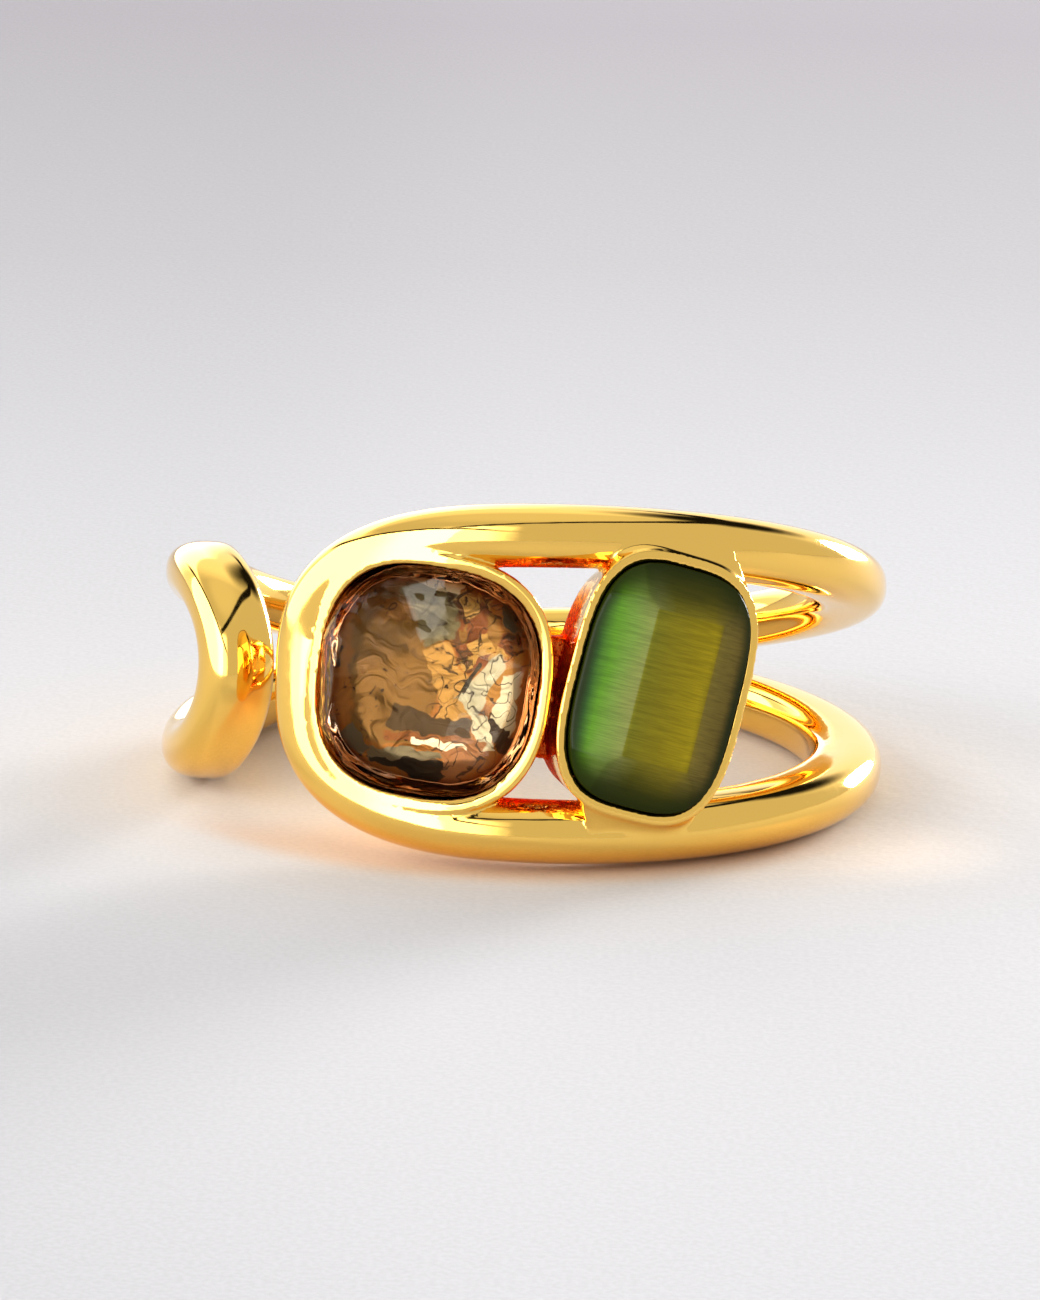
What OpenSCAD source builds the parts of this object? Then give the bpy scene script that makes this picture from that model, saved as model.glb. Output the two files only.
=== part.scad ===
// Wrap ring: one bar of gold bent into a long closed loop and wrapped round the finger. Its two
// looped ends meet side by side at the front without touching. The larger one frames a smoky
// cushion-cut stone, and a green cat's-eye stone stands beside it between the two rails.
// All sizes are millimetres. The ring is drawn about its finger axis and then laid on its side.

/* [Finger and bar] */
// Radius of the finger hole
finger_r = 8.65; // [8.2:0.05:9]
// Thickness of the bar, from the finger outwards
bar_t = 2.15; // [2:0.05:2.4]
// Width of the bar at the front of the ring
front_w = 1.9; // [1.7:0.05:2.1]
// Width of the bar at the back of the ring
back_w = 1.62; // [1.5:0.02:1.8]
// Squareness of the bar's rounded section, where 2 is an ellipse
bar_square = 2.4; // [2.2:0.1:2.8]

/* [Rails] */
// Height of a rail's centre above the ring's middle plane, half way round
rail_mid = 2.35; // [2.2:0.05:2.5]
// How much higher a rail runs at the front, and lower at the back
rail_rise = 1.84; // [1.7:0.02:1.9]
// Angle at which the rails are furthest apart, from the front towards the green stone
rail_lean = 7; // [0:1:10]
// Extra height of the rails where they come round to the smaller loop
tail_flare = 0.41; // [0.2:0.01:0.5]

/* [Looped ends] */
// Angle of the larger loop's outer edge
head_end = -44.5; // [-46:0.5:-42]
// Length of the larger loop's turn along the band
head_turn = 6.2; // [5.6:0.1:6.8]
// Squareness of the larger loop's turn, where 2 is an ellipse
head_square = 3; // [2.4:0.1:3.2]
// Width of the bar at the larger loop's outer edge
head_w = 2; // [1.8:0.05:2.2]
// Angle of the smaller loop's outer edge
tail_end = -54.5; // [-57:0.5:-53]
// Length of the smaller loop's turn along the band
tail_turn = 5.4; // [5:0.1:6]
// Width of the bar at the smaller loop's outer edge
tail_w = 1.9; // [1.7:0.05:2]

/* [Smoky stone] */
// Angle of the stone round the ring
smoky_at = -15.4; // [-16:0.1:-14.8]
// Width of the stone across the ring's front
smoky_w = 6.55; // [6.2:0.05:6.7]
// Height of the stone along the finger
smoky_h = 6.6; // [6:0.1:6.8]
// Turn of the stone in its setting
smoky_turn = -7.2; // [-10:0.1:-5]
// Squareness of its outline
smoky_square = 2.63; // [2.4:0.01:3]
// Distance of its girdle from the finger's axis
smoky_girdle = 10.2; // [10.1:0.05:10.25]
// Rise of its table above the girdle
smoky_rise = 0.6; // [0.4:0.05:0.7]

/* [Green stone] */
// Angle of the stone round the ring
green_at = 20.3; // [19.5:0.1:21]
// Width of the stone across the ring's front
green_w = 4.95; // [4.6:0.05:5.2]
// Height of the stone along the finger
green_h = 7.1; // [6.8:0.1:7.3]
// Turn of the stone in its setting
green_turn = -13.5; // [-15:0.5:-12]
// Squareness of its outline
green_square = 3.2; // [2.8:0.1:3.5]
// Distance of its rim from the finger's axis
green_rim = 11.05; // [10.9:0.05:11.2]
// Rise of its table above the rim
green_rise = 0.85; // [0.6:0.05:1]

/* [Settings] */
// How far a cup draws in towards the finger, on each side
draft = 0.3; // [0.1:0.05:0.4]
// Thickness of the metal wall round the smoky stone
smoky_wall = 0.42; // [0.35:0.01:0.45]
// Thickness of the metal wall round the green stone
green_wall = 0.28; // [0.25:0.01:0.35]
// Thickness of the metal behind a stone
back = 0.5; // [0.4:0.05:0.7]
// Gap between a stone and its setting
seat_gap = 0.05; // [0.04:0.01:0.08]

/* [Hidden] */

bar_r = finger_r + bar_t;
// The section is drawn a little deeper than the bar, and the finger hole cuts the excess away.
sunk = 0.25;
mid_r = finger_r - sunk + (bar_t + sunk) / 2;
half_t = (bar_t + sunk) / 2;
mm_deg = 180 / (PI * mid_r);

// Number of points or steps in each curve.
section_points = 16;
turn_steps = 15;
rail_steps = 38;
outline_points = 56;
stone_sides = 24;
round_points = 144;

// Thickness of the plates that blocks and stones are stretched between.
slice = 0.001;
// Height that a pocket is cut above its stone's widest outline.
headroom = 1;
// Length of the cut along the finger, longer than the ring is wide.
through = 20;
// Shares of their outlines that the stones' tables take.
smoky_table = 0.74;
green_table = 0.56;
// The green stone's rim is rounded by half of its wall, in steps of [inset, drop] as shares of it.
lip = green_wall * 0.5;
lip_steps = [[0, 1], [0.3, 0.3], [1, 0]];

head_tip = head_end + head_w / 2 * mm_deg;
head_start = head_tip + head_turn * mm_deg;
tail_tip = 360 + tail_end - tail_w / 2 * mm_deg;
tail_start = tail_tip - tail_turn * mm_deg;

function smooth(f) = let (c = min(1, max(0, f))) c * c * (3 - 2 * c);
function sgn_pow(x, e) = sign(x) * pow(abs(x), e);
function rail_z(a) = rail_mid + rail_rise * cos(a - rail_lean) + tail_flare * smooth((a - 180) / 90);
function rail_w(a) = front_w + (back_w - front_w) * (1 - cos(a)) / 2;

// A station of the bar's centreline is [angle round the finger, height, width of the bar].
// The upper half runs from the larger loop's tip round the finger to the smaller loop's tip.
function head_station(q) =
    let (a = head_start - head_turn * mm_deg * pow(cos(q), 2 / head_square))
    [a, rail_z(a) * pow(sin(q), 2 / head_square), head_w + (rail_w(a) - head_w) * sin(q)];
function tail_station(q) =
    let (a = tail_start + tail_turn * mm_deg * cos(q))
    [a, rail_z(a) * sin(q), tail_w + (rail_w(a) - tail_w) * sin(q)];
centreline = concat(
    [for (i = [0:turn_steps - 1]) head_station(90 * i / turn_steps)],
    [for (i = [0:rail_steps]) let (a = head_start + (tail_start - head_start) * i / rail_steps)
        [a, rail_z(a), rail_w(a)]],
    [for (i = [1:turn_steps]) tail_station(90 * (1 - i / turn_steps))]
);
last = len(centreline) - 1;

// Direction of the bar at a station, on the unrolled band, as [along, up]. At a tip the bar
// runs straight up the finger, so that its two halves meet flat on the middle plane.
function run(i) =
    i == 0 ? [0, 1] : i == last ? [0, -1] :
    let (d = centreline[i + 1] - centreline[i - 1], v = [d[0] / mm_deg, d[1]]) v / norm(v);
function on_finger(along, r, z) = [r * sin(along * mm_deg), -r * cos(along * mm_deg), z];
function section_ring(i) =
    let (s = centreline[i], d = run(i), at = s[0] / mm_deg)
    [for (k = [0:section_points - 1]) let (q = 360 * k / section_points,
        across = sgn_pow(cos(q), 2 / bar_square) * s[2] / 2,
        out = sgn_pow(sin(q), 2 / bar_square) * half_t)
        on_finger(at - d[1] * across, mid_r + out, max(0, s[1] + d[0] * across))];
bar_points = [for (i = [0:last]) each section_ring(i)];

// Triangles of a closed tube through rings of n points, with a flat cap on each end.
function tube_faces(rings, n) = concat(
    [[for (k = [0:n - 1]) k]],
    [for (i = [0:rings - 2], k = [0:n - 1]) let (a = i * n + k, b = i * n + (k + 1) % n)
        each [[a, b + n, b], [a, a + n, b + n]]],
    [[for (k = [n - 1:-1:0]) (rings - 1) * n + k]]
);

// Distance of the cups' flat bases from the finger's axis, so that they lie inside the hole
// and its cut leaves their backs round.
cup_base = finger_r - 1;
// Depths of the stones' pockets below the girdle and the rim.
smoky_depth = smoky_girdle - finger_r - back;
green_depth = green_rim - finger_r - back;

// Layers of the two stones from the base up to the table, as [share of the outline, height].
smoky_layers = [[0.3, seat_gap - smoky_depth], [0.72, -0.6], [1, -0.15], [1, 0],
    [0.9, smoky_rise * 0.55], [smoky_table, smoky_rise]];
green_layers = [[0.8, seat_gap - green_depth], [0.95, -0.8], [1, -0.05], [0.93, green_rise * 0.4],
    [green_table, green_rise]];

// Points of a cushion outline, a superellipse that is turned about its centre.
function cushion(w, h, square, turn, n) =
    [for (k = [0:n - 1]) let (q = 360 * k / n,
        x = sgn_pow(cos(q), 2 / square) * w / 2, y = sgn_pow(sin(q), 2 / square) * h / 2)
        [x * cos(turn) - y * sin(turn), x * sin(turn) + y * cos(turn)]];

// Laid on its side the ring rests on the lower rail, which tilts its finger axis back. The
// drawing's points, turned to that rest, give the floor and the middle of the outer box.
rest_tilt = -atan(rail_rise / mid_r);
function rest_turn(p) =
    [p[0], p[1] * cos(rest_tilt) - p[2] * sin(rest_tilt), p[1] * sin(rest_tilt) + p[2] * cos(rest_tilt)];
// The green stone's table stands furthest out of all.
table_r = green_rim + green_rise;
table_points = [for (q = cushion(green_w, green_h, green_square, green_turn, stone_sides) * green_table)
    [q[0] * cos(green_at) + table_r * sin(green_at), q[0] * sin(green_at) - table_r * cos(green_at), q[1]]];
rest_points = concat([for (p = bar_points) each [rest_turn(p), rest_turn([p[0], p[1], -p[2]])]],
    [for (p = table_points) rest_turn(p)]);
function side(axis) = [for (p = rest_points) p[axis]];
rest_shift = [-(min(side(0)) + max(side(0))) / 2, -(min(side(1)) + max(side(1))) / 2, -min(side(2))];

module at_rest() {
    translate(rest_shift) rotate([rest_tilt, 0, 0]) children();
}

// Puts what stands on the XY plane on the band: its Z points outwards at angle a, distance r.
module facing(a, r) {
    rotate([0, 0, a]) translate([0, -r, 0]) rotate([90, 0, 0]) children();
}

// Cuts or trims round the finger's axis.
module along_finger(r) {
    cylinder(r = r, h = through, center = true, $fn = round_points);
}

module prism(outline, from, to) {
    translate([0, 0, from]) linear_extrude(to - from) polygon(outline);
}

// Half of the bar, from the middle plane up.
module upper_bar() {
    polyhedron(bar_points, tube_faces(last + 1, section_points), convexity = 8);
}

// A block that draws in from its rim down to the finger, where grow widens its outline all round.
module drawn_in(w, h, square, turn, grow, from, to, base) {
    hull() for (level = [from, to]) {
        thin = 2 * (grow - draft * level / base);
        prism(cushion(w + thin, h + thin, square, turn, outline_points), level - slice, level);
    }
}

// The closed cup of the smoky stone is trimmed flush with the outside of the bar.
module smoky_block(grow, from) {
    drawn_in(smoky_w, smoky_h, smoky_square, smoky_turn, grow, from, 0, finger_r - smoky_girdle);
    prism(cushion(smoky_w + 2 * grow, smoky_h + 2 * grow, smoky_square, smoky_turn, outline_points),
        -slice, headroom);
}

module smoky_cup() {
    intersection() {
        facing(smoky_at, smoky_girdle) smoky_block(smoky_wall, cup_base - smoky_girdle);
        along_finger(bar_r);
    }
}

// The cup of the green stone stands above the rails and ends in a rounded lip.
module green_block(grow, from, to) {
    drawn_in(green_w, green_h, green_square, green_turn, grow, from, to, finger_r - green_rim);
}

module green_cup() {
    for (s = lip_steps) green_block(green_wall - lip * s[0], cup_base - green_rim, -lip * s[1]);
}

// The looped bar and both settings are one piece of metal. The resize keeps every size, and
// makes the bar and its settings one mesh before the round finger hole is cut.
module wrap_band() {
    color("gold") at_rest() difference() {
        resize([0, 0, 0]) difference() {
            union() {
                upper_bar();
                mirror([0, 0, 1]) upper_bar();
                smoky_cup();
                facing(green_at, green_rim) green_cup();
            }
            facing(smoky_at, smoky_girdle) smoky_block(0, -smoky_depth);
            facing(green_at, green_rim) green_block(0, -green_depth, headroom);
        }
        along_finger(finger_r);
    }
}

// A cut stone is stacked from its layers, whose outlines share one centre.
module cut_stone(w, h, square, turn, layers) {
    girdle = cushion(w - 2 * seat_gap, h - 2 * seat_gap, square, turn, stone_sides);
    hull() for (l = layers) prism(girdle * l[0], l[1] - slice, l[1]);
}

module smoky_stone() {
    color("saddlebrown") at_rest() facing(smoky_at, smoky_girdle)
        cut_stone(smoky_w, smoky_h, smoky_square, smoky_turn, smoky_layers);
}

module green_stone() {
    color("olivedrab") at_rest() facing(green_at, green_rim)
        cut_stone(green_w, green_h, green_square, green_turn, green_layers);
}

wrap_band();
smoky_stone();
green_stone();
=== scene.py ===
"""Looks of the wrap ring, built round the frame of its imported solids.

Shapes are drawn in millimetres about the finger axis, as the ring's own solids are, then laid at
rest and brought to metres.
"""

import logging
import math
from dataclasses import dataclass, replace
from enum import Enum
from functools import reduce
from typing import ClassVar

import bmesh
import bpy
from mathutils import Matrix, Vector, noise


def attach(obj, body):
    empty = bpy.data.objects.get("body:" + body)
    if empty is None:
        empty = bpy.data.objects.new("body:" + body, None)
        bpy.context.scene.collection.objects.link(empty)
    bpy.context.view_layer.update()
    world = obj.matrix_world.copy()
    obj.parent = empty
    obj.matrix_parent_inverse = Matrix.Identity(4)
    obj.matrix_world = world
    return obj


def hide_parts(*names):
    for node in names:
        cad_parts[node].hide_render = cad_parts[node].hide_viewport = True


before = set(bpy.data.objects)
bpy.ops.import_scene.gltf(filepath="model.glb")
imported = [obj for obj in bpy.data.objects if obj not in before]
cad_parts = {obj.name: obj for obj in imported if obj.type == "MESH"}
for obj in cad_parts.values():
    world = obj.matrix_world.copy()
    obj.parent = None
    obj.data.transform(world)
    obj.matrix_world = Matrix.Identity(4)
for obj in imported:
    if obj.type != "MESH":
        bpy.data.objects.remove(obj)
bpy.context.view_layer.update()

LOG = logging.getLogger("wrap_ring")
MM = 0.001
FULL_TURN = 360.0

Fade = tuple[float, float]


class Slot(Enum):
    """Material slots of the record."""

    GOLD = "gold"
    SMOKY = "smoky_glass"
    GREEN = "green_cats_eye"


class Cut(Enum):
    """Ways in which one solid shapes another."""

    JOIN = "UNION"
    REMOVE = "DIFFERENCE"
    KEEP = "INTERSECT"


def signed_power(value: float, exponent: float) -> float:
    """Returns the power of a value's size with the value's sign."""
    return math.copysign(abs(value) ** exponent, value)


def eased(share: float) -> float:
    """Returns a share from 0 to 1 with soft ends."""
    held = min(1.0, max(0.0, share))
    return held * held * (3 - 2 * held)


def below(value: float, fade: Fade) -> float:
    """Returns 1 well below a limit, falling softly to 0 at it over a run."""
    limit, run = fade
    return eased((limit - value) / run)


def waved(spot: Vector, size: float, shift: tuple) -> float:
    """Returns the height of a soft wave at a spot."""
    return noise.noise(spot * size + Vector(shift))


def level_of(face: bmesh.types.BMFace) -> float:
    """Returns the height of a face's middle."""
    return face.calc_center_median().z


def outward(shape: bmesh.types.BMesh) -> bmesh.types.BMesh:
    """Turns the faces of a closed shape outwards.

    Args:
        shape: The shape, which is changed.

    Returns:
        The same shape.
    """
    bmesh.ops.recalc_face_normals(shape, faces=shape.faces)
    if shape.calc_volume(signed=True) < 0:
        bmesh.ops.reverse_faces(shape, faces=shape.faces)
    return shape


def facet(shape: bmesh.types.BMesh, point: Vector, normal: Vector) -> None:
    """Cuts one flat facet on a closed shape and closes it.

    Args:
        shape: The shape being cut.
        point: A point of the facet.
        normal: The facet's outward direction.
    """
    parts = shape.verts[:] + shape.edges[:] + shape.faces[:]
    cut = bmesh.ops.bisect_plane(
        shape, geom=parts, dist=1e-5, plane_co=point, plane_no=normal, clear_outer=True)
    edges = [part for part in cut["geom_cut"] if isinstance(part, bmesh.types.BMEdge)]
    bmesh.ops.contextual_create(shape, geom=edges)


def loose_object(name: str, shape: bmesh.types.BMesh) -> bpy.types.Object:
    """Makes an object of a shape and frees the shape.

    Args:
        name: The object's name.
        shape: The shape, which is freed.

    Returns:
        The new object, linked to the scene.
    """
    mesh = bpy.data.meshes.new(name)
    shape.to_mesh(mesh)
    shape.free()
    obj = bpy.data.objects.new(name, mesh)
    bpy.context.scene.collection.objects.link(obj)
    return obj


def applied(obj: bpy.types.Object) -> bpy.types.Object:
    """Applies an object's modifiers.

    Args:
        obj: The object, whose mesh is replaced by its finished one.

    Returns:
        The same object with no modifiers.
    """
    depsgraph = bpy.context.evaluated_depsgraph_get()
    mesh = bpy.data.meshes.new_from_object(obj.evaluated_get(depsgraph))
    obj.modifiers.clear()
    obj.data = mesh
    return obj


def add_step(obj: bpy.types.Object, kind: str, **options: object) -> None:
    """Adds a modifier to an object.

    Args:
        obj: The object.
        kind: Blender's name of the modifier's type.
        options: The modifier's own options.
    """
    step = obj.modifiers.new(kind.lower(), kind)
    for option, value in options.items():
        setattr(step, option, value)


def cut_with(base: bpy.types.Object, tool: bpy.types.Object, cut: Cut) -> bpy.types.Object:
    """Shapes one solid with another, which is used up.

    Args:
        base: The solid that is shaped.
        tool: The solid that shapes it.
        cut: The way it is shaped.

    Returns:
        The shaped solid.
    """
    add_step(base, "BOOLEAN", operation=cut.value, solver="EXACT", object=tool)
    applied(base)
    bpy.data.objects.remove(tool)
    return base


def shaped(base: bpy.types.Object, tool: bmesh.types.BMesh, cut: Cut) -> bpy.types.Object:
    """Shapes one solid with a block, as cut_with does with an object."""
    return cut_with(base, loose_object("tool", tool), cut)


def melt(obj: bpy.types.Object, voxel: float) -> None:
    """Adds the step that melts a piece's joints and edges, at a voxel size."""
    add_step(obj, "REMESH", mode="VOXEL", voxel_size=voxel)


def polish(obj: bpy.types.Object, rounds: int) -> None:
    """Adds the step that smooths a piece's surface, a number of times."""
    add_step(obj, "SMOOTH", factor=0.5, iterations=rounds)


@dataclass(frozen=True)
class RingForm:
    """Sizes and curves of the looped bar, in millimetres and degrees."""

    finger_radius: float = 8.65
    bar_thickness: float = 2.15
    front_width: float = 1.9
    back_width: float = 1.62
    bar_square: float = 2.4
    inner_square: float = 3.4
    middle_radius: float = 9.6
    rail_middle: float = 2.35
    rail_rise: float = 1.84
    rail_lean: float = 7.0
    tail_flare: float = 0.41
    head_end: float = -44.5
    head_turn: float = 6.2
    head_square: float = 3.0
    head_width: float = 2.0
    tail_end: float = -54.5
    tail_turn: float = 5.4
    tail_width: float = 1.9
    head_share: float = 0.1
    tail_share: float = 0.09
    flare_fade: Fade = (-180.0, 90.0)
    window_draw: float = 0.08
    window_start: Fade = (19.0, 7.0)
    window_end: Fade = (30.0, 14.0)
    centre_height: float = 3.4145
    centre_back: float = 0.5047

    @property
    def outer_radius(self) -> float:
        """Radius of the band's outside."""
        return self.finger_radius + self.bar_thickness

    @property
    def degrees_per_mm(self) -> float:
        """Angle that a millimetre along the bar's middle takes."""
        return FULL_TURN / (2 * math.pi * self.middle_radius)

    @property
    def at_rest(self) -> Matrix:
        """Turn and shift from the finger's frame to the ring at rest.

        Returns:
            The placing, in metres.
        """
        tilt = -math.atan(self.rail_rise / self.middle_radius)
        shift = Matrix.Translation((0, self.centre_back, self.centre_height))
        return Matrix.Scale(MM, 4) @ shift @ Matrix.Rotation(tilt, 4, "X")

    def drawn(self, angle: float) -> float:
        """Returns how far a rail's inner edge is drawn out beside the windows."""
        return self.window_draw * min(below(-angle, self.window_start), below(angle, self.window_end))

    def rail_height(self, angle: float) -> float:
        """Finds the height of a rail's centre.

        Args:
            angle: The angle round the finger.

        Returns:
            The height.
        """
        wave = self.rail_rise * math.cos(math.radians(angle - self.rail_lean))
        flare = self.tail_flare * below(-angle, self.flare_fade)
        return self.rail_middle + wave + flare + self.drawn(angle) / 2

    def rail_width(self, angle: float) -> float:
        """Returns the width of a rail at an angle round the finger."""
        share = (1 - math.cos(math.radians(angle))) / 2
        return self.front_width + (self.back_width - self.front_width) * share - self.drawn(angle)

    def upper_station(self, share: float) -> tuple[float, float, float]:
        """Finds a station on the bar's upper half, from one tip to the other.

        Args:
            share: The way along the half, from 0 to 1.

        Returns:
            The angle round the finger, the height and the width of the bar.
        """
        per_mm = self.degrees_per_mm
        head_tip = self.head_end + self.head_width / 2 * per_mm
        head_start = head_tip + self.head_turn * per_mm
        tail_tip = FULL_TURN + self.tail_end - self.tail_width / 2 * per_mm
        tail_start = tail_tip - self.tail_turn * per_mm
        head, tail = 2 * self.head_share, 1 - 2 * self.tail_share
        if share < head:
            turn = share / head * math.pi / 2
            run = self.head_turn * per_mm * math.cos(turn) ** (2 / self.head_square)
            angle = head_start - run
            rise = math.sin(turn) ** (2 / self.head_square)
            width = self.head_width + (self.rail_width(angle) - self.head_width) * math.sin(turn)
        elif share <= tail:
            angle = head_start + (tail_start - head_start) * (share - head) / (tail - head)
            rise, width = 1.0, self.rail_width(angle)
        else:
            turn = max(0.0, (1 - share) / (1 - tail)) * math.pi / 2
            angle = tail_start + self.tail_turn * per_mm * math.cos(turn)
            rise = math.sin(turn)
            width = self.tail_width + (self.rail_width(angle) - self.tail_width) * math.sin(turn)
        return angle, self.rail_height(angle) * rise, width

    def station(self, way: float) -> tuple[float, float, float]:
        """Finds a station on the closed loop.

        Args:
            way: The way round the loop, from 0 to 1, which may run past both ends.

        Returns:
            The distance along the band, the height and the width of the bar.
        """
        around = way % 1
        side = 1 if around <= 0.5 else -1
        angle, height, width = self.upper_station(2 * around if side > 0 else 2 - 2 * around)
        return angle / self.degrees_per_mm, side * height, width

    def on_finger(self, along: float, radius: float, height: float) -> Vector:
        """Returns the place of a point of the unrolled band, about the finger axis."""
        angle = math.radians(along * self.degrees_per_mm)
        return Vector((radius * math.sin(angle), -radius * math.cos(angle), height))

    def bar_point(self, way: float, side: float, out: float) -> Vector:
        """Finds a point on the bar's surface.

        Args:
            way: The way round the loop, from 0 to 1.
            side: Cosine of the turn round the section.
            out: Sine of the turn round the section.

        Returns:
            The point about the finger axis.
        """
        step = 0.0005
        along, height, width = self.station(way)
        before, after = self.station(way - step), self.station(way + step)
        run = Vector((after[0] - before[0], after[1] - before[1])).normalized()
        across = signed_power(side, 2 / self.bar_square) * width / 2
        if out > 0:
            depth = self.outer_radius - self.middle_radius
            reach = depth * out ** (2 / self.bar_square)
        else:
            depth = self.middle_radius - self.finger_radius
            reach = -depth * (-out) ** (2 / self.inner_square)
        return self.on_finger(along - run.y * across, self.middle_radius + reach, height + run.x * across)


@dataclass(frozen=True)
class Cushion:
    """A cushion outline on the band, with what is built on it, in millimetres and degrees."""

    at: float
    width: float
    height: float
    square: float
    turn: float
    reach: float

    @property
    def facing(self) -> Matrix:
        """Turn and shift that stand the outline's plane on the band.

        Returns:
            The placing, with Z outwards.
        """
        around = Matrix.Rotation(math.radians(self.at), 4, "Z")
        lean = Matrix.Rotation(math.radians(90), 4, "X")
        return around @ Matrix.Translation((0, -self.reach, 0)) @ lean

    @property
    def lean(self) -> Matrix:
        """Turn of the outline in its own plane."""
        return Matrix.Rotation(math.radians(self.turn), 4, "Z")

    def half_sizes(self, form: RingForm) -> Matrix:
        """Returns the outline's place on the ring at rest, scaled to its half sizes."""
        sizes = Matrix.Diagonal((self.width / 2, self.height / 2, 1, 1))
        return form.at_rest @ self.facing @ self.lean @ sizes

    def place(self, turn: float, width: float, height: float) -> tuple[float, float]:
        """Finds a point of an outline of this cushion's form.

        Args:
            turn: The point's turn about the centre.
            width: The outline's width.
            height: The outline's height.

        Returns:
            The place across and along.
        """
        across = signed_power(math.cos(turn), 2 / self.square) * width / 2
        along = signed_power(math.sin(turn), 2 / self.square) * height / 2
        lean = math.radians(self.turn)
        return (
            across * math.cos(lean) - along * math.sin(lean),
            across * math.sin(lean) + along * math.cos(lean),
        )

    def stacked(self, layers: list[tuple[float, float, float]], sides: int) -> bmesh.types.BMesh:
        """Stacks outlines into a closed block, on the outline's own plane.

        Args:
            layers: Growth across, growth along and level of each outline, from the base up.
            sides: Number of sides of the outlines.

        Returns:
            The block.
        """
        block = bmesh.new()
        bmesh.ops.create_circle(block, cap_ends=True, radius=1, segments=sides)
        top = next(iter(block.faces))
        for number in range(1, len(layers)):
            grown = bmesh.ops.extrude_face_region(block, geom=[top])["geom"]
            corners = [part for part in grown if isinstance(part, bmesh.types.BMVert)]
            bmesh.ops.translate(block, vec=(0, 0, 1), verts=corners)
            if number > 1:
                bmesh.ops.delete(block, geom=[top], context="FACES_ONLY")
            top = next(part for part in grown if isinstance(part, bmesh.types.BMFace))
        for vert in block.verts:
            across, along, level = layers[round(vert.co.z)]
            turn = math.atan2(vert.co.y, vert.co.x)
            x, y = self.place(turn, self.width + 2 * across, self.height + 2 * along)
            vert.co = Vector((x, y, level))
        return outward(block)

    def tapered(self, steps: tuple, sides: int, draw: float = 0.0) -> bmesh.types.BMesh:
        """Stacks outlines that grow alike in both directions.

        Args:
            steps: Growth and level of each outline, from the base up.
            sides: Number of sides of the outlines.
            draw: Growth that is added to all of them.

        Returns:
            The block.
        """
        return self.stacked([(draw + grow, draw + grow, level) for grow, level in steps], sides)


@dataclass(frozen=True)
class Setting:
    """A metal cup round a stone, in millimetres."""

    seat: Cushion
    wall: float
    draft: float
    depth: float
    headroom: float = 1.0
    sides: int = 96

    def block(self, wall: float, bottom: float, top: float, hole: float) -> bmesh.types.BMesh:
        """Builds the cup's outside or its pocket, drawn in towards the finger.

        Args:
            wall: Growth of the outline at the rim.
            bottom: Level of the block's base.
            top: Level of its top.
            hole: Radius of the finger hole, where the draft is full.

        Returns:
            The block, in the finger's frame.
        """
        low = wall - self.draft * max(0.0, bottom / (hole - self.seat.reach))
        block = self.seat.tapered(((low, bottom), (wall, 0), (wall, top)), self.sides)
        block.transform(self.seat.facing)
        return block

    def pocket(self, hole: float) -> bmesh.types.BMesh:
        """Returns the hollow that holds the stone."""
        return self.block(0.0, -self.depth, self.headroom, hole)


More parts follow.
